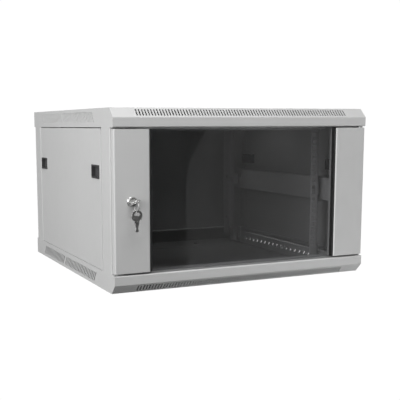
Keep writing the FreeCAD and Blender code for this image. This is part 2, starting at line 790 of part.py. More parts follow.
def side_panel():
    """Right-hand panel: a shallow tray with returned edges."""
    tray = box(HALF - PANEL_RETURN, HALF, PANEL_FRONT, PANEL_BACK, PANEL_LOW, PANEL_HIGH)
    rim = [edge for edge in tray.Edges
           if edge.BoundBox.XMin > HALF - PANEL_SHEET and edge.Length > PANEL_RETURN * NEARLY]
    tray = tray.makeFillet(BEND, rim)
    hollow = box(0, HALF - PANEL_SHEET, PANEL_FRONT + PANEL_SHEET, PANEL_BACK - PANEL_SHEET,
                 PANEL_LOW + PANEL_SHEET, PANEL_HIGH - PANEL_SHEET)
    length = LATCH_LENGTH / 2 - LATCH_RIM + LATCH_FIT
    tall = LATCH_HEIGHT / 2 - LATCH_RIM + LATCH_FIT
    window = box(-2 * PANEL_SHEET, PANEL_SHEET, -length, length, -tall, tall)
    cuts = [hollow, strike(1, PANEL_FRONT), strike(1, PANEL_BACK)]
    cuts += [latch_placed(window, at_front) for at_front in (True, False)]
    return tray.cut(cuts)


# ================================================================ door
def door_strip():
    """Right-hand strip: channel with a stepped edge that the glass sits on."""
    y = FRONT
    outline = plan([
        (DOOR_HALF, y + DOOR_DEPTH),
        (DOOR_HALF, y),
        (GLASS_X, y),
        (GLASS_X, y + SEAT_Y),
        (GLASS_X - SEAT_WIDTH, y + SEAT_Y),
        (GLASS_X - SEAT_WIDTH, y + DOOR_DEPTH),
    ], DOOR_LOW)
    channel = folded(outline, -STRIP_SHEET, Z_AXIS, STRIP_BEND, sharp=(3, 4))
    channel = channel.extrude(Z_AXIS * (DOOR_HIGH - DOOR_LOW))
    end = box(GLASS_X + STRIP_SHEET, DOOR_HALF - STRIP_SHEET, y + STRIP_SHEET, y + DOOR_DEPTH,
              DOOR_LOW, DOOR_LOW + STRIP_SHEET)
    return joined([channel, end, mirror_door_z(end)])


def mirror_door_z(shape):
    return shape.mirror(Vector(0, 0, (DOOR_LOW + DOOR_HIGH) / 2), Z_AXIS)


def hinge_holes():
    radius = PIN_R + RUNNING + BUSH_WALL
    low = rod(radius, Vector(PIN_X, FRONT + PIN_Y, DOOR_LOW - STRIP_SHEET), Z_AXIS,
              3 * STRIP_SHEET)
    return [low, mirror_door_z(low)]


def hinge_bushes():
    """Flanged bushes in the ends of the right-hand strip."""
    start = Vector(PIN_X, FRONT + PIN_Y, DOOR_LOW)
    body = rod(PIN_R + BUSH_WALL, start, Z_AXIS, BUSH_LENGTH)
    flange = rod(COLLAR_R, start + Z_AXIS * STRIP_SHEET, Z_AXIS, BUSH_FLANGE)
    bore = rod(PIN_R + RUNNING, start - Z_AXIS * STRIP_SHEET, Z_AXIS,
               BUSH_LENGTH + 2 * STRIP_SHEET)
    bush = body.fuse(flange).cut(bore).removeSplitter()
    return [bush, mirror_door_z(bush)]


def hinge_pin(gap):
    """Pin through a ledge, with the collar that keeps the door off it."""
    start = Vector(PIN_X, FRONT + PIN_Y, LOW)
    shaft = rod(PIN_R, start - Z_AXIS * (SHEET + PIN_TAIL), Z_AXIS,
                SHEET + PIN_TAIL + gap + PIN_REACH)
    collar = rod(COLLAR_R, start, Z_AXIS, gap - HINGE_CLEAR)
    head = rod(COLLAR_R, start - Z_AXIS * (SHEET + PIN_TAIL), Z_AXIS, PIN_TAIL)
    return joined([shaft, collar, head])


def door_glass():
    x = GLASS_X - SEAL_WEB - SEAL_FIT
    pane = box(-x, x, FRONT + GLASS_SETBACK, FRONT + GLASS_SETBACK + GLASS_SHEET,
               DOOR_LOW, DOOR_HIGH)
    long_edges = [edge for edge in pane.Edges if edge.Length > 2 * GLASS_SHEET]
    return pane.makeChamfer(GLASS_ARRIS, long_edges)


def glass_seal():
    """Right-hand rubber channel round the upright edge of the pane."""
    y = FRONT + GLASS_SETBACK
    back = y + GLASS_SHEET
    outline = plan([
        (GLASS_X, back + SEAL_BACK),
        (GLASS_X, y - SEAL_FIT - SEAL_BACK),
        (GLASS_X - SEAL_WEB - SEAL_LIP, y - SEAL_FIT - SEAL_BACK),
        (GLASS_X - SEAL_WEB - SEAL_LIP, y - SEAL_FIT),
        (GLASS_X - SEAL_WEB, y - SEAL_FIT),
        (GLASS_X - SEAL_WEB, back + SEAL_FIT),
        (GLASS_X - SEAT_WIDTH, back + SEAL_FIT),
        (GLASS_X - SEAT_WIDTH, back + SEAL_BACK),
    ], DOOR_LOW)
    return polygon_prism(outline, Z_AXIS * (DOOR_HIGH - DOOR_LOW))


# ================================================================ lock
def lock_point(behind=0.0):
    """On the lock's axis, this far behind the front plane."""
    return Vector(LOCK_X, FRONT + behind, LOCK_UP)


def turned(shape, degrees):
    """Turned about the lock's axis, anticlockwise seen from the front."""
    copy = shape.copy()
    copy.rotate(lock_point(), Y_AXIS * -1, degrees)
    return copy


def lock_housing():
    """Chromed bezel and threaded barrel in one turned piece."""
    radial = [
        (PLUG_R + RUNNING, -LOCK_PROUD),
        (LOCK_FACE_R, -LOCK_PROUD),
        (LOCK_FLANGE_R, -LOCK_RIM),
        (LOCK_FLANGE_R, 0),
        (BARREL_R, 0),
        (BARREL_R, BARREL_LENGTH),
        (PLUG_R + RUNNING, BARREL_LENGTH),
    ]
    points = [lock_point(along) + X_AXIS * out for out, along in radial]
    face = Part.Face(Part.makePolygon(points + [points[0]]))
    return face.revolve(lock_point(), Y_AXIS, 360)


def lock_plug():
    """Turning core: keyway at the front, square end for the cam."""
    front = -LOCK_PROUD - PLUG_PROUD
    core = rod(PLUG_R, lock_point(front), Y_AXIS, BARREL_LENGTH - front)
    half = CAM_SQUARE / 2
    square = box(LOCK_X - half, LOCK_X + half, FRONT + BARREL_LENGTH,
                 FRONT + BARREL_LENGTH + CAM_SHEET, LOCK_UP - half, LOCK_UP + half)
    wide = KEY_ROOT / 2 + KEYWAY_FIT
    thick = KEY_SHEET / 2 + KEYWAY_FIT
    blade_end = front - KEY_SHOULDER_GAP + KEY_BLADE
    keyway = box(LOCK_X - wide, LOCK_X + wide, FRONT + front, FRONT + blade_end + KEYWAY_FIT,
                 LOCK_UP - thick, LOCK_UP + thick)
    thread = rod(CAM_SCREW_R + RUNNING, lock_point(BARREL_LENGTH + CAM_SHEET), Y_AXIS * -1,
                 CAM_SCREW_LENGTH)
    plug = joined([core, turned(square, CAM_TURN)])
    return plug.cut([turned(keyway, KEY_TILT), turned(thread, 0)])


def lock_cam():
    """Flat cam on the square end, pointing along +X before it is turned."""
    y = BARREL_LENGTH
    half = CAM_WIDTH / 2
    arm = box(LOCK_X, LOCK_X + CAM_LENGTH - half, FRONT + y, FRONT + y + CAM_SHEET,
              LOCK_UP - half, LOCK_UP + half)
    hub = rod(half, lock_point(y), Y_AXIS, CAM_SHEET)
    tip = rod(half, lock_point(y) + X_AXIS * (CAM_LENGTH - half), Y_AXIS, CAM_SHEET)
    square = CAM_SQUARE / 2 + CAM_FIT
    hole = box(LOCK_X - square, LOCK_X + square, FRONT + y - CAM_SHEET,
               FRONT + y + 2 * CAM_SHEET, LOCK_UP - square, LOCK_UP + square)
    return turned(joined([hub, arm, tip]).cut(hole), CAM_TURN)


def cam_screw():
    seat = lock_point(BARREL_LENGTH + CAM_SHEET)
    head = rod(CAM_SCREW_HEAD_R, seat, Y_AXIS, CAM_SCREW_HEAD)
    shank = rod(CAM_SCREW_R, seat, Y_AXIS * -1, CAM_SCREW_LENGTH - SHEET)
    return head.fuse(shank).removeSplitter()


def lock_nut():
    radius = NUT_FLATS / 2 / math.cos(math.pi / HEXAGON)
    turns = [math.tau * step / HEXAGON for step in range(HEXAGON)]
    corners = [lock_point(STRIP_SHEET) + Vector(radius * math.cos(turn), 0, radius * math.sin(turn))
               for turn in turns]
    block = polygon_prism(corners, Y_AXIS * NUT_HEIGHT)
    bore = rod(BARREL_R + BARREL_FIT, lock_point(0), Y_AXIS, 2 * NUT_HEIGHT)
    return block.cut(bore)


# ================================================================ keys
def key_blank():
    """Key lying flat, its bow end at the origin and its blade along +Y."""
    half = KEY_SHEET / 2
    bow = box(-KEY_BOW_WIDTH / 2, KEY_BOW_WIDTH / 2, 0, KEY_BOW_LENGTH, -half, half)
    corners = [edge for edge in bow.Edges if edge.Length < KEY_SHEET * NEARLY]
    bow = bow.makeFillet(KEY_BOW_CORNER, corners)
    root = KEY_BOW_LENGTH
    waist = root + KEY_WAIST_AT
    end = root + KEY_BLADE
    tip = end - KEY_TIP / 2
    outline = [
        Vector(-KEY_ROOT / 2, root - KEY_RIM, -half),
        Vector(KEY_ROOT / 2, root - KEY_RIM, -half),
        Vector(KEY_ROOT / 2, root + KEY_RIM, -half),
        Vector(KEY_WAIST / 2, waist, -half),
        Vector(0, tip, -half),
        Vector(-KEY_WAIST / 2, waist, -half),
        Vector(-KEY_ROOT / 2, root + KEY_RIM, -half),
    ]
    blade = polygon_prism(outline, Z_AXIS * KEY_SHEET)
    nose = rod(KEY_TIP / 2, Vector(0, tip, -half), Z_AXIS, KEY_SHEET)
    eye_y = KEY_RIM + KEY_EYE_HEIGHT / 2
    reach = (KEY_EYE_LENGTH - KEY_EYE_HEIGHT) / 2
    eye = [rod(KEY_EYE_HEIGHT / 2, Vector(dx, eye_y, -KEY_SHEET), Z_AXIS, 2 * KEY_SHEET)
           for dx in (-reach, reach)]
    eye.append(box(-reach, reach, KEY_RIM, KEY_RIM + KEY_EYE_HEIGHT, -KEY_SHEET, KEY_SHEET))
    return joined([bow, blade, nose]).cut(eye)


def key():
    """The key in the lock, with its shoulder just off the plug."""
    return turned(key_blank().translated(lock_point(-KEY_END)), KEY_TILT)


def key_ring():
    """Round-wire ring through the eye of the key."""
    return Part.makeTorus(RING_R, RING_WIRE / 2, Vector(LOCK_X, RING_Y, RING_Z), X_AXIS)


def spare_key():
    """The second key, hanging blade down from the bottom of the ring."""
    blank = key_blank()
    blank.rotate(Vector(0, 0, 0), X_AXIS, -90)
    top = RING_Z - RING_R + RING_WIRE / 2 + SPARE_SLACK + KEY_RIM
    return blank.translated(Vector(LOCK_X, RING_Y, top))


# ================================================================ output
def main():
    os.makedirs("parts", exist_ok=True)
    export("bottom_pan", pan())
    export("top_cover", top_cover())
    export("cable_entry_plate_bottom", entry_plate())
    export("cable_entry_plate_top", mirror_z(entry_plate()))
    export("cable_entry_screws", *entry_screws())
    export("post_screws", *foot_screws())
    export("back_panel", back_panel())
    export("back_panel_screws", *back_screws())

    right_side = {
        "front_post": [front_post()],
        "rear_post": [rear_post()],
        "bottom_depth_rail": [depth_rail()],
        "top_depth_rail": [mirror_z(depth_rail())],
        "mid_brace": [brace()],
        "front_rack_rail": [rack_rail(*RAIL_FACES[0])],
        "rear_rack_rail": [rack_rail(*RAIL_FACES[1])],
        "rail_brackets": rail_brackets(),
        "rail_bracket_bolts": bracket_bolts(),
        "side_panel": [side_panel()],
        "latch_case_front": [latch_placed(latch_case(-THUMB_OFFSET), True)],
        "latch_case_rear": [latch_placed(latch_case(THUMB_OFFSET), False)],
        "latch_slider_front": [latch_placed(latch_slider(-THUMB_OFFSET), True)],
        "latch_slider_rear": [latch_placed(latch_slider(THUMB_OFFSET), False)],
        "glass_seal": [glass_seal()],
    }
    for name, shapes in right_side.items():
        export(name + "_right", *shapes)
        export(name + "_left", *[mirror_x(shape) for shape in shapes])

    lock_hole = rod(BARREL_R + BARREL_FIT, lock_point(-STRIP_SHEET), Y_AXIS, 3 * STRIP_SHEET)
    export("door_strip_right", door_strip().cut(hinge_holes()))
    export("door_strip_left", mirror_x(door_strip()).cut(lock_hole))
    export("door_glass", door_glass())
    export("hinge_bushes", *hinge_bushes())
    export("hinge_pin_bottom", hinge_pin(DOOR_BOTTOM_GAP))
    export("hinge_pin_top", mirror_z(hinge_pin(DOOR_TOP_GAP)))

    export("lock_housing", lock_housing())
    export("lock_plug", lock_plug())
    export("lock_cam", lock_cam())
    export("lock_cam_screw", cam_screw())
    export("lock_nut", lock_nut())
    export("key", key())
    export("key_ring", key_ring())
    export("spare_key", spare_key())


main()
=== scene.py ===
import json
import math

import bmesh
import bpy
from mathutils import Matrix, Vector


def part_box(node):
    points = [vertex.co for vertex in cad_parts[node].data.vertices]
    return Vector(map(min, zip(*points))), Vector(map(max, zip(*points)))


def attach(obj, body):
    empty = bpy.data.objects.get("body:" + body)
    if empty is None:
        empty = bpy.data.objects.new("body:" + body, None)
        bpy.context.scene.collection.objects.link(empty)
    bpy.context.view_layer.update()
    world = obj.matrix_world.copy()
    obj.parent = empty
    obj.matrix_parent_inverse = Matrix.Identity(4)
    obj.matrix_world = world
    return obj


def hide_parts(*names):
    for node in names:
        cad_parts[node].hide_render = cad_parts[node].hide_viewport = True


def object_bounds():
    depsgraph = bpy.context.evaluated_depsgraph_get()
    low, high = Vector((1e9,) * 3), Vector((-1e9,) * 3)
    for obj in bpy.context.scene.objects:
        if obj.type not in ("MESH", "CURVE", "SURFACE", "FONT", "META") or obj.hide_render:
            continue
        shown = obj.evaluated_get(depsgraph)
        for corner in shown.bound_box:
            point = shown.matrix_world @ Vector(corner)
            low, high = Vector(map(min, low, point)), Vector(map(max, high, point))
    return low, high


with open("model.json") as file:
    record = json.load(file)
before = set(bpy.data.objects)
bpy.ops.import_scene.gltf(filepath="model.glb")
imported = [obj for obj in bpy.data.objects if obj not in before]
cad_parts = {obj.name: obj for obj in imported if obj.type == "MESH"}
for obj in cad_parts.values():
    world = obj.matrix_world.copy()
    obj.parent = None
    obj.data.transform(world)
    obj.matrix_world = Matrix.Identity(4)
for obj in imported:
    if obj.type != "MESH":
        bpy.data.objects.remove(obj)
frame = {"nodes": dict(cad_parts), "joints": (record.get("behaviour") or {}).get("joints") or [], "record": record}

START_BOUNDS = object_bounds()
MM = 0.001

# ---------------------------------------------------------------- colours
PAINT = (0.62, 0.622, 0.62)
ZINC = (0.60, 0.60, 0.595)
NICKEL = (0.68, 0.68, 0.675)
BLACK_PLASTIC = (0.068, 0.068, 0.07)
SLIDER_PLASTIC = (0.085, 0.085, 0.088)
RUBBER = (0.03, 0.03, 0.03)
GLASS_TINT = (0.76, 0.76, 0.765)
GLASS_MIRROR = 0.04      # share that one face mirrors when seen square on
GLASS_MIRROR_TINT = (0.9, 0.9, 0.9)
GLASS_ROUGHNESS = (0.02, 0.05)
SMUDGE_SHADE = 0.97
WAVE_DEPTH = 0.00002
SLANT_POWER = 5.0        # how fast a face mirrors more as it is seen at a slant

# ---------------------------------------------------------------- texture sizes
NOISE_ROUGHNESS = 0.55
NOISE_MIDDLE = (0.3, 0.7)  # nearly all of a noise texture's values lie between these
PATCH_SCALE = 9.0        # mottled colour of solid finishes
GLOSS_SCALE = 60.0       # uneven gloss of solid finishes
GLOSS_DROP = 0.04
GLOSS_RISE = 0.05
RELIEF_STRENGTH = 0.5
SMUDGE_SCALE = 6.0
SMEAR_SCALE = 14.0
WAVE_SCALE = 12.0
WAVE_STRENGTH = 0.3

# ---------------------------------------------------------------- floor and backdrop
WHITE_GLOW = 1.02        # what the camera sees behind and below the cabinet
# floor colour for bounced light only: painted shade on the left, paler to the right
FLOOR_SHADED_LEFT = (0.24, 0.24, 0.24)
FLOOR_LIT_RIGHT = (0.95, 0.95, 0.95)
FLOOR_SHADE_FADE = (-0.3, 0.4) # from the painted shade on the left to the pale right, along X, in metres
FLOOR_REACH = 6.0
FLOOR_LEVEL = -0.02

# ---------------------------------------------------------------- light
WORLD_LIGHT = 0.03
WORLD_MIRRORED = 0.03
CARD_GLOW = (0.2635, 0.403)  # at the card's left edge, and past the fade
CARD_FADE = 0.12         # share of the card's width in which the glow rises
CARD_CORNERS = [(0.84, -2.66, -0.9), (3.4, -1.2, -0.9), (3.4, -1.2, 1.6), (1.53, -2.27, 1.6),
                (0.84, -2.66, 0.13)]
LIGHT_AIM = (0, -0.3, 0.2)
LIGHTS = {               # place, size and watts
    "overhead": ((-0.6, -1.4, 2.4), (2.2, 1.6), 56.0),
    "left_front": ((-2.6, -1.6, 1.0), (1.6, 1.6), 42.0),
    "left": ((-3.0, -0.6, 1.2), (1.6, 1.6), 23.0),
    "rear": ((1.6, 2.6, 1.4), (1.6, 1.6), 30.0),
}

# ---------------------------------------------------------------- camera
CAMERA_PLACE = (-0.811292, -2.006196, 0.335353)
CAMERA_YAW = 0.418033
CAMERA_PITCH = -0.141081
CAMERA_ROLL = -0.003643
CAMERA_LENS = 69.188
CAMERA_SHIFT = (0.0826, 0.0858)
SENSOR_WIDTH = 36.0
CLIP_START = 0.05


# ================================================================ node helpers
def new_material(name):
    material = bpy.data.materials.new(name)
    material.use_nodes = True
    nodes = material.node_tree.nodes
    nodes.clear()
    output = nodes.new("ShaderNodeOutputMaterial")
    return material, nodes, material.node_tree.links, output


def noise(nodes, links, coords, scale, detail=3.0):
    texture = nodes.new("ShaderNodeTexNoise")
    texture.inputs["Scale"].default_value = scale
    texture.inputs["Detail"].default_value = detail
    texture.inputs["Roughness"].default_value = NOISE_ROUGHNESS
    links.new(coords, texture.inputs["Vector"])
    return texture.outputs["Fac"]


def spread(nodes, links, value, low, high):
    """The texture's middle values stretched to low and high."""
    ramp = nodes.new("ShaderNodeMapRange")
    ramp.inputs["From Min"].default_value = NOISE_MIDDLE[0]
    ramp.inputs["From Max"].default_value = NOISE_MIDDLE[1]
    ramp.inputs["To Min"].default_value = low
    ramp.inputs["To Max"].default_value = high
    links.new(value, ramp.inputs["Value"])
    return ramp.outputs["Result"]


def blend_colour(nodes, links, amount, first, second):
    mix = nodes.new("ShaderNodeMix")
    mix.data_type = "RGBA"
    mix.inputs["A"].default_value = (*first, 1)
    mix.inputs["B"].default_value = (*second, 1)
    links.new(amount, mix.inputs["Factor"])
    return mix.outputs["Result"]


def shaded(colour, factor):
    return tuple(channel * factor for channel in colour)


def surface(name, colour, roughness, metallic, grain_scale, grain_depth, wear=0.05):
    """A solid finish: mottled colour, uneven gloss and a fine relief."""
    material, nodes, links, output = new_material(name)
    shader = nodes.new("ShaderNodeBsdfPrincipled")
    coords = nodes.new("ShaderNodeTexCoord").outputs["Object"]
    patches = spread(nodes, links, noise(nodes, links, coords, PATCH_SCALE), 0.0, 1.0)
    tone = blend_colour(nodes, links, patches, shaded(colour, 1 - wear), shaded(colour, 1 + wear / 2))
    links.new(tone, shader.inputs["Base Color"])
    gloss = noise(nodes, links, coords, GLOSS_SCALE)
    links.new(spread(nodes, links, gloss, roughness - GLOSS_DROP, roughness + GLOSS_RISE),
              shader.inputs["Roughness"])
    shader.inputs["Metallic"].default_value = metallic
    relief = nodes.new("ShaderNodeBump")
    relief.inputs["Distance"].default_value = grain_depth
    relief.inputs["Strength"].default_value = RELIEF_STRENGTH
    links.new(noise(nodes, links, coords, grain_scale, 2.0), relief.inputs["Height"])
    links.new(relief.outputs["Normal"], shader.inputs["Normal"])
    links.new(shader.outputs["BSDF"], output.inputs["Surface"])
    return material


def glass_mirror(nodes, links, coords):
    """What a face mirrors: slightly uneven and wavy."""
    mirror = nodes.new("ShaderNodeBsdfGlossy")
    mirror.inputs["Color"].default_value = (*GLASS_MIRROR_TINT, 1)
    smears = spread(nodes, links, noise(nodes, links, coords, SMEAR_SCALE), *GLASS_ROUGHNESS)
    links.new(smears, mirror.inputs["Roughness"])
    waviness = nodes.new("ShaderNodeBump")
    waviness.inputs["Distance"].default_value = WAVE_DEPTH
    waviness.inputs["Strength"].default_value = WAVE_STRENGTH
    links.new(noise(nodes, links, coords, WAVE_SCALE, 1.0), waviness.inputs["Height"])
    links.new(waviness.outputs["Normal"], mirror.inputs["Normal"])
    return mirror.outputs["BSDF"]


def mirror_share(nodes, links):
    """Share of light that a face mirrors, by the slant it is seen at."""
    slant = nodes.new("ShaderNodeLayerWeight")
    slant.inputs["Blend"].default_value = 0.5
    steep = nodes.new("ShaderNodeMath")
    steep.operation = "POWER"
    steep.inputs[1].default_value = SLANT_POWER
    links.new(slant.outputs["Facing"], steep.inputs[0])
    share = nodes.new("ShaderNodeMath")
    share.operation = "MULTIPLY_ADD"
    share.inputs[1].default_value = 1 - GLASS_MIRROR
    share.inputs[2].default_value = GLASS_MIRROR
    links.new(steep.outputs["Value"], share.inputs[0])
    return share.outputs["Value"]


def smoked_glass():
    """Thin tinted sheet: each face dims what passes and mirrors a little."""
    material, nodes, links, output = new_material("smoked_glass")
    coords = nodes.new("ShaderNodeTexCoord").outputs["Object"]
    through = nodes.new("ShaderNodeBsdfTransparent")
    smudges = spread(nodes, links, noise(nodes, links, coords, SMUDGE_SCALE), 0.0, 1.0)
    links.new(blend_colour(nodes, links, smudges, shaded(GLASS_TINT, SMUDGE_SHADE), GLASS_TINT),
              through.inputs["Color"])
    mix = nodes.new("ShaderNodeMixShader")
    links.new(mirror_share(nodes, links), mix.inputs["Fac"])
    links.new(through.outputs["BSDF"], mix.inputs[1])
    links.new(glass_mirror(nodes, links, coords), mix.inputs[2])
    links.new(mix.outputs["Shader"], output.inputs["Surface"])
    return material


def make_finishes():
    return {
        "grey_paint": surface("grey_paint", PAINT, 0.46, 0.0, 900.0, 0.00006, wear=0.02),
        "zinc_steel": surface("zinc_steel", ZINC, 0.38, 1.0, 700.0, 0.00003, wear=0.15),
        "nickel": surface("nickel", NICKEL, 0.28, 1.0, 900.0, 0.00001, wear=0.12),
        "black_plastic": surface("black_plastic", BLACK_PLASTIC, 0.45, 0.0, 1500.0, 0.00005),
        "dark_plastic": surface("dark_plastic", SLIDER_PLASTIC, 0.42, 0.0, 1500.0, 0.00005),
        "black_rubber": surface("black_rubber", RUBBER, 0.65, 0.0, 800.0, 0.00005),
        "smoked_glass": smoked_glass(),
    }


FINISHES = make_finishes()
JOINTS = {joint["name"]: joint for joint in frame["joints"]}
SLOT_OF = {part["node"]: part["material_slot"] for part in frame["record"]["subparts"]}


def finish_cad_nodes():
    for name, node in frame["nodes"].items():
        material = FINISHES[SLOT_OF[name]]
        if not node.material_slots:
            node.data.materials.append(material)
        for place in node.material_slots:
            place.material = material


# ================================================================ mesh helpers
SHARP_ANGLE = 35.0       # edges sharper than this are split
ROUND_SLACK = 0.01       # keeps the corner arcs of a round end apart


def arc(centre, radius, start, end, steps=10):
    """Points round part of a circle, angles in degrees."""
    points = []
    for step in range(steps + 1):
        angle = math.radians(start + (end - start) * step / steps)
        points.append((centre[0] + radius * math.cos(angle), centre[1] + radius * math.sin(angle)))
    return points


def rounded_box(x0, x1, y0, y1, radius):
    """Outline of a rectangle with rounded corners."""
    return (arc((x1 - radius, y0 + radius), radius, -90, 0)
            + arc((x1 - radius, y1 - radius), radius, 0, 90)
            + arc((x0 + radius, y1 - radius), radius, 90, 180)
            + arc((x0 + radius, y0 + radius), radius, 180, 270))


def plate(outlines, thickness, edge, lift=0.0):
    """Mesh of a plate with rounded edges; the first outline is outside, the rest are holes."""
    curve = bpy.data.curves.new("plate", "CURVE")
    curve.dimensions = "2D"
    curve.fill_mode = "BOTH"
    curve.extrude = (thickness / 2 - edge) * MM
    curve.bevel_depth = edge * MM
    curve.bevel_resolution = 2
    curve.offset = -edge * MM
    for points in outlines:
        spline = curve.splines.new("POLY")
        spline.points.add(len(points) - 1)
        spline.use_cyclic_u = True
        for point, (x, y) in zip(spline.points, points):
            point.co = (x * MM, y * MM, 0, 1)
    holder = bpy.data.objects.new("plate", curve)
    bpy.context.collection.objects.link(holder)
    depsgraph = bpy.context.evaluated_depsgraph_get()
    mesh = bpy.data.meshes.new_from_object(holder.evaluated_get(depsgraph))
    bpy.data.objects.remove(holder)
    mesh.transform(Matrix.Translation((0, 0, lift * MM)))
    return mesh


def piece(name, meshes, slot, body, place=Matrix.Identity(4), stands_for=()):
    """One object from several meshes, riding on a CAD body."""
    whole = bmesh.new()
    for mesh in meshes:
        whole.from_mesh(mesh)
    bmesh.ops.transform(whole, matrix=place, verts=whole.verts)
    bmesh.ops.recalc_face_normals(whole, faces=whole.faces)
    mesh = bpy.data.meshes.new(name)
    whole.to_mesh(mesh)
    whole.free()
    mesh.shade_smooth()
    mesh.materials.append(FINISHES[slot])
    made = bpy.data.objects.new(name, mesh)
    bpy.context.collection.objects.link(made)
    sharpen = made.modifiers.new("edges", "EDGE_SPLIT")
    sharpen.split_angle = math.radians(SHARP_ANGLE)
    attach(made, body)
    if stands_for:
        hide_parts(*stands_for)
    return made


# ================================================================ keys
KEY_THICK = 2.0
KEY_RELIEF = 0.25
BOW_WIDTH = 22.0
BOW_LENGTH = 20.0
BOW_CORNER = 7.5
EYE = (11.0, 6.5)
RIM = 3.2
BLADE = 22.0
ROOT = 9.4
WAIST = 3.8
TIP = 6.8
KEY_TILT = 24.0
KEY_EDGE = 0.35          # rounding of the blank
WAIST_RUN = 12.0         # from the root to the waist
WAIST_STEPS = 8
RELIEF_LAP = 0.1         # how far raised parts sink into the blank
RELIEF_EDGE = 0.1
RIM_OUTER = (0.5, 0.4, 0.6)  # margins to the bow's sides, its end and the blade
RIM_INNER = (1.6, 1.4, 1.6)
RIBS = 4
RIB_START = 1.7          # from the eye to the middle of the first rib
RIB_PITCH = 1.55
RIB_MARGIN = 2.6
RIB_TAPER = 0.5          # each rib is this much shorter at both ends
RIB_HALF = 0.45
RIB_CORNER = 0.4
RIB_EDGE = 0.12
LAND = ((0.6, 0.0), (3.9, 0.0), (1.5, 15.0), (0.6, 18.0))  # out from the middle, along


def key_outline():
    """Outside of the key, bow end at the origin and blade along +Y."""
    half = BOW_WIDTH / 2
    end = BOW_LENGTH + BLADE
    tip = TIP / 2
    right = [(ROOT / 2, BOW_LENGTH), (ROOT / 2, BOW_LENGTH + RIM)]
    for step in range(1, WAIST_STEPS):
        part = step / WAIST_STEPS
        ease = part * part * (3 - 2 * part)
        right.append((ROOT / 2 + (WAIST - ROOT) / 2 * ease, BOW_LENGTH + RIM + WAIST_RUN * part))
    bow_low = arc((-half + BOW_CORNER, BOW_CORNER), BOW_CORNER, 180, 270)
    bow_low += arc((half - BOW_CORNER, BOW_CORNER), BOW_CORNER, 270, 360)
    bow_high = arc((half - BOW_CORNER, BOW_LENGTH - BOW_CORNER), BOW_CORNER, 0, 80)
    nose = arc((0, end - tip), tip, -30, 210, 16)
    left = [(-x, y) for x, y in reversed(right)]
    bow_back = [(-x, y) for x, y in reversed(bow_high)]
    return bow_low + bow_high + right + nose + left + bow_back


def bow_loop(side, end, blade):
    """Outline inside the bow, with its margins to the bow's edge."""
    half = BOW_WIDTH / 2 - side
    return rounded_box(-half, half, end, BOW_LENGTH - blade, BOW_CORNER - side)


def key_rib(rib, face):
    y = RIM + EYE[1] + RIB_START + rib * RIB_PITCH
    reach = BOW_WIDTH / 2 - RIB_MARGIN - RIB_TAPER * rib
    outline = rounded_box(-reach, reach, y - RIB_HALF, y + RIB_HALF, RIB_CORNER)
    return plate([outline], KEY_RELIEF + RELIEF_LAP, RIB_EDGE, face)


def key_land(edge, face):
    land = [(edge * out, BOW_LENGTH + along) for out, along in LAND]
    if edge < 0:
        land.reverse()
    return plate([land], KEY_RELIEF + RELIEF_LAP, RELIEF_EDGE, face)


def key_meshes():
    """Blank with an eye, a rim and ribs on both faces of the bow and lands along the blade."""
    core = KEY_THICK - 2 * KEY_RELIEF
    eye = rounded_box(-EYE[0] / 2, EYE[0] / 2, RIM, RIM + EYE[1], EYE[1] / 2 - ROUND_SLACK)
    meshes = [plate([key_outline(), eye], core, KEY_EDGE)]
    side = (KEY_THICK - KEY_RELIEF - RELIEF_LAP) / 2
    for face in (-side, side):
        rim = [bow_loop(*RIM_OUTER), bow_loop(*RIM_INNER)]
        meshes.append(plate(rim, KEY_RELIEF + RELIEF_LAP, RELIEF_EDGE, face))
        meshes += [key_rib(rib, face) for rib in range(RIBS)]
        meshes += [key_land(edge, face) for edge in (-1, 1)]
    return meshes


def add_keys():
    axis = Vector(JOINTS["lock_turn"]["pos_m"])
    low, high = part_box("key")
    tilt = Matrix.Rotation(-math.radians(KEY_TILT), 4, "Y")
    place = Matrix.Translation((axis.x, low[1], axis.z)) @ tilt
    piece("key_in_lock", key_meshes(), "nickel", "key", place, ("key",))
    low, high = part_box("spare_key")
    down = Matrix.Rotation(-math.pi / 2, 4, "X")
    place = Matrix.Translation((axis.x, (low[1] + high[1]) / 2, high[2])) @ down
    piece("hanging_key", key_meshes(), "nickel", "spare_key", place, ("spare_key",))


# ================================================================ latches
THUMB_OFFSET = 9.4       # thumb bar from the middle of the latch, towards the front
THUMB_RIBS = 4
THUMB_RIB_PITCH = 2.3
THUMB_RIB_WIDTH = 1.0
THUMB_RIB_PROUD = 0.5
THUMB_RIB_MARGIN = 1.5   # from the ends of the ribs to the ends of the bar
THUMB_RIB_EDGE = 0.25


def thumb_ribs(tall):
    """Upright ribs side by side, tall to each side of their middle."""
    half = THUMB_RIB_WIDTH / 2
    meshes = []
    for rib in range(THUMB_RIBS):
        y = (rib - (THUMB_RIBS - 1) / 2) * THUMB_RIB_PITCH
        outline = rounded_box(y - half, y + half, -tall, tall, half - ROUND_SLACK)
        meshes.append(plate([outline], 2 * THUMB_RIB_PROUD, THUMB_RIB_EDGE))
    return meshes


def add_thumb_ribs():
    for side, out in (("left", -1), ("right", 1)):
        upright = Matrix(((0, 0, out, 0), (1, 0, 0, 0), (0, 1, 0, 0), (0, 0, 0, 1)))
        for end in ("front", "rear"):
            slider = "latch_slider_%s_%s" % (end, side)
            case_low, case_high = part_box("latch_case_%s_%s" % (end, side))
            low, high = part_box(slider)
            tall = (high[2] - low[2]) / MM / 2 - THUMB_RIB_MARGIN
            centre = (low[0] if out < 0 else high[0],
                      (case_low[1] + case_high[1]) / 2 - THUMB_OFFSET * MM,
                      (low[2] + high[2]) / 2)
            place = Matrix.Translation(centre) @ upright
            piece("thumb_ribs_%s_%s" % (end, side), thumb_ribs(tall), "dark_plastic", slider, place)


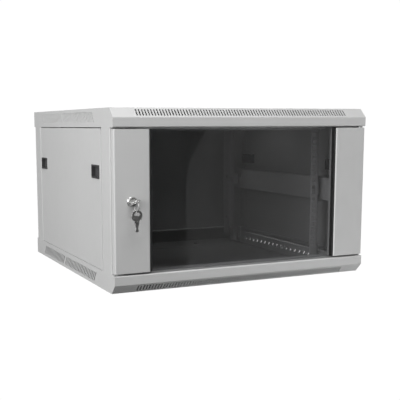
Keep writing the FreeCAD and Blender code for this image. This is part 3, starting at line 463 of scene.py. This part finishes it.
# ================================================================ screws
SOCKET_FLATS = 5.0
SOCKET_DEPTH = 2.2
HEAD_EDGE = 0.8
HEAD_KNEE = 0.3          # share of HEAD_EDGE, where the rounded edge bends
SCREW_SIDES = 36
SCREW_HEAD_R = 5.4
SCREW_HEAD = 3.6
SCREW_SHANK_R = 3.0
WELD = 1e-6              # corners closer than this are one, in metres


def ring_of(radius, height):
    angles = [math.tau * step / SCREW_SIDES for step in range(SCREW_SIDES)]
    return [Vector((radius * math.cos(angle), radius * math.sin(angle), height))
            for angle in angles]


def hexagon_ring(height):
    """The socket's hexagon, with as many points as the head's rings."""
    corner = SOCKET_FLATS / math.sqrt(3)
    points = []
    for point in ring_of(1, height):
        angle = math.atan2(point.y, point.x) % (math.pi / 3) - math.pi / 6
        reach = corner * math.cos(math.pi / 6) / math.cos(angle)
        points.append(Vector((point.x * reach, point.y * reach, height)))
    return points


def socket_screw(shank):
    """Cap screw along +Z, head up, seat at the origin, with a hexagon socket."""
    made = bmesh.new()
    sides = SCREW_SIDES
    knee = HEAD_EDGE * HEAD_KNEE
    rings = [
        ring_of(SCREW_SHANK_R, -shank),
        ring_of(SCREW_SHANK_R, 0),
        ring_of(SCREW_HEAD_R, 0),
        ring_of(SCREW_HEAD_R, SCREW_HEAD - HEAD_EDGE),
        ring_of(SCREW_HEAD_R - knee, SCREW_HEAD - knee),
        ring_of(SCREW_HEAD_R - HEAD_EDGE, SCREW_HEAD),
        hexagon_ring(SCREW_HEAD),
        hexagon_ring(SCREW_HEAD - SOCKET_DEPTH),
    ]
    loops = [[made.verts.new(point * MM) for point in ring] for ring in rings]
    for lower, upper in zip(loops, loops[1:]):
        for step in range(sides):
            after = (step + 1) % sides
            made.faces.new((lower[step], lower[after], upper[after], upper[step]))
    made.faces.new(reversed(loops[0]))
    made.faces.new(loops[-1])
    mesh = bpy.data.meshes.new("screw")
    made.to_mesh(mesh)
    made.free()
    return mesh


def loose_parts(node):
    """Lowest and highest corner of each separate solid of a CAD node."""
    source = bmesh.new()
    source.from_mesh(frame["nodes"][node].data)
    bmesh.ops.remove_doubles(source, verts=source.verts, dist=WELD)
    seen = set()
    found = []
    for start in source.verts:
        if start in seen:
            continue
        seen.add(start)
        stack = [start]
        low, high = start.co.copy(), start.co.copy()
        while stack:
            vertex = stack.pop()
            low = Vector(map(min, low, vertex.co))
            high = Vector(map(max, high, vertex.co))
            for edge in vertex.link_edges:
                other = edge.other_vert(vertex)
                if other not in seen:
                    seen.add(other)
                    stack.append(other)
        found.append((low, high))
    source.free()
    return found


def add_screws(node, way):
    """Replace a node's plain screws; way(middle) gives the side their heads point to."""
    meshes = []
    for low, high in loose_parts(node):
        middle = (low + high) / 2
        out = Vector(way(middle))
        length = abs((high - low).dot(out)) / MM
        mesh = socket_screw(length - SCREW_HEAD)
        seat = middle + out * ((length / 2 - SCREW_HEAD) * MM)
        turn = Vector((0, 0, 1)).rotation_difference(out).to_matrix().to_4x4()
        mesh.transform(Matrix.Translation(seat) @ turn)
        meshes.append(mesh)
    piece(node + "_heads", meshes, "zinc_steel", "frame", stands_for=(node,))


def add_all_screws():
    middle_z = (START_BOUNDS[0][2] + START_BOUNDS[1][2]) / 2
    add_screws("rail_bracket_bolts_left", lambda at: (1, 0, 0))
    add_screws("rail_bracket_bolts_right", lambda at: (-1, 0, 0))
    add_screws("back_panel_screws", lambda at: (0, -1, 0))
    add_screws("cable_entry_screws", lambda at: (0, 0, 1 if at.z < middle_z else -1))
    add_screws("post_screws", lambda at: (0, 0, -1 if at.z < middle_z else 1))


# ================================================================ room
def floor_material():
    """Plain white for the camera; for bounced light, painted shade on the left that grows paler to the right."""
    material, nodes, links, output = new_material("floor")
    diffuse = nodes.new("ShaderNodeBsdfDiffuse")
    place = nodes.new("ShaderNodeTexCoord")
    across = nodes.new("ShaderNodeSeparateXYZ")
    links.new(place.outputs["Object"], across.inputs["Vector"])
    fade = nodes.new("ShaderNodeMapRange")
    fade.inputs["From Min"].default_value = FLOOR_SHADE_FADE[0]
    fade.inputs["From Max"].default_value = FLOOR_SHADE_FADE[1]
    links.new(across.outputs["X"], fade.inputs["Value"])
    # painted shade: the floor bounces less light up on the left than on the right
    links.new(blend_colour(nodes, links, fade.outputs["Result"], FLOOR_SHADED_LEFT, FLOOR_LIT_RIGHT),
              diffuse.inputs["Color"])
    white = nodes.new("ShaderNodeEmission")
    white.inputs["Color"].default_value = (1, 1, 1, 1)
    white.inputs["Strength"].default_value = WHITE_GLOW
    seen = nodes.new("ShaderNodeLightPath")
    mix = nodes.new("ShaderNodeMixShader")
    links.new(seen.outputs["Is Camera Ray"], mix.inputs["Fac"])
    links.new(diffuse.outputs["BSDF"], mix.inputs[1])
    links.new(white.outputs["Emission"], mix.inputs[2])
    links.new(mix.outputs["Shader"], output.inputs["Surface"])
    return material


def sheet(name, corners, material):
    """One flat face of the set."""
    mesh = bpy.data.meshes.new(name)
    mesh.from_pydata(corners, [], [tuple(range(len(corners)))])
    mesh.materials.append(material)
    made = bpy.data.objects.new(name, mesh)
    bpy.context.collection.objects.link(made)
    return made


def pale_floor():
    side = FLOOR_REACH
    corners = [(-side, -side, 0), (side, -side, 0), (side, side, 0), (-side, side, 0)]
    floor = sheet("floor", corners, floor_material())
    floor.location.z = FLOOR_LEVEL
    floor.visible_glossy = False


def background(nodes, strength):
    node = nodes.new("ShaderNodeBackground")
    node.inputs["Color"].default_value = (1, 1, 1, 1)
    node.inputs["Strength"].default_value = strength
    return node.outputs["Background"]


def studio_world():
    """Even soft light; plain white for the camera, dim for what shines."""
    world = bpy.data.worlds.new("studio")
    bpy.context.scene.world = world
    world.use_nodes = True
    nodes = world.node_tree.nodes
    links = world.node_tree.links
    nodes.clear()
    seen = nodes.new("ShaderNodeLightPath")
    dim = nodes.new("ShaderNodeMixShader")
    links.new(seen.outputs["Is Glossy Ray"], dim.inputs["Fac"])
    links.new(background(nodes, WORLD_LIGHT), dim.inputs[1])
    links.new(background(nodes, WORLD_MIRRORED), dim.inputs[2])
    white = nodes.new("ShaderNodeMixShader")
    links.new(seen.outputs["Is Camera Ray"], white.inputs["Fac"])
    links.new(dim.outputs["Shader"], white.inputs[1])
    links.new(background(nodes, WHITE_GLOW), white.inputs[2])
    output = nodes.new("ShaderNodeOutputWorld")
    links.new(white.outputs["Shader"], output.inputs["Surface"])


def area_light(name, place, size, watts):
    data = bpy.data.lights.new(name, "AREA")
    data.shape = "RECTANGLE"
    data.size, data.size_y = size
    data.energy = watts
    light = bpy.data.objects.new(name, data)
    light.location = place
    light.rotation_euler = (Vector(LIGHT_AIM) - Vector(place)).to_track_quat("-Z", "Y").to_euler()
    bpy.context.collection.objects.link(light)


def studio_lights():
    for name, (place, size, watts) in LIGHTS.items():
        area_light(name, place, size, watts)


def card_material():
    """Glow that is weaker near the card's left edge."""
    material, nodes, links, output = new_material("card")
    glow = nodes.new("ShaderNodeEmission")
    place = nodes.new("ShaderNodeTexCoord")
    along = nodes.new("ShaderNodeSeparateXYZ")
    links.new(place.outputs["Generated"], along.inputs["Vector"])
    fade = nodes.new("ShaderNodeMapRange")
    fade.inputs["From Max"].default_value = CARD_FADE
    fade.inputs["To Min"].default_value = CARD_GLOW[0]
    fade.inputs["To Max"].default_value = CARD_GLOW[1]
    links.new(along.outputs["X"], fade.inputs["Value"])
    links.new(fade.outputs["Result"], glow.inputs["Strength"])
    links.new(glow.outputs["Emission"], output.inputs["Surface"])
    return material


def mirror_card():
    """Bright board to the right of the camera, seen only in what shines."""
    card = sheet("card", CARD_CORNERS, card_material())
    card.visible_camera = False
    card.visible_diffuse = False
    card.visible_shadow = False


def camera():
    data = bpy.data.cameras.new("camera")
    data.lens = CAMERA_LENS
    data.sensor_width = SENSOR_WIDTH
    data.shift_x, data.shift_y = CAMERA_SHIFT
    data.clip_start = CLIP_START
    eye = bpy.data.objects.new("camera", data)
    turn = (Matrix.Rotation(-CAMERA_YAW, 4, "Z")
            @ Matrix.Rotation(math.pi / 2 + CAMERA_PITCH, 4, "X")
            @ Matrix.Rotation(CAMERA_ROLL, 4, "Z"))
    eye.matrix_world = Matrix.Translation(CAMERA_PLACE) @ turn
    bpy.context.collection.objects.link(eye)
    bpy.context.scene.camera = eye


def main():
    finish_cad_nodes()
    add_keys()
    add_thumb_ribs()
    add_all_screws()
    pale_floor()
    studio_world()
    studio_lights()
    mirror_card()
    camera()
    bpy.context.scene.view_settings.view_transform = "Standard"


main()
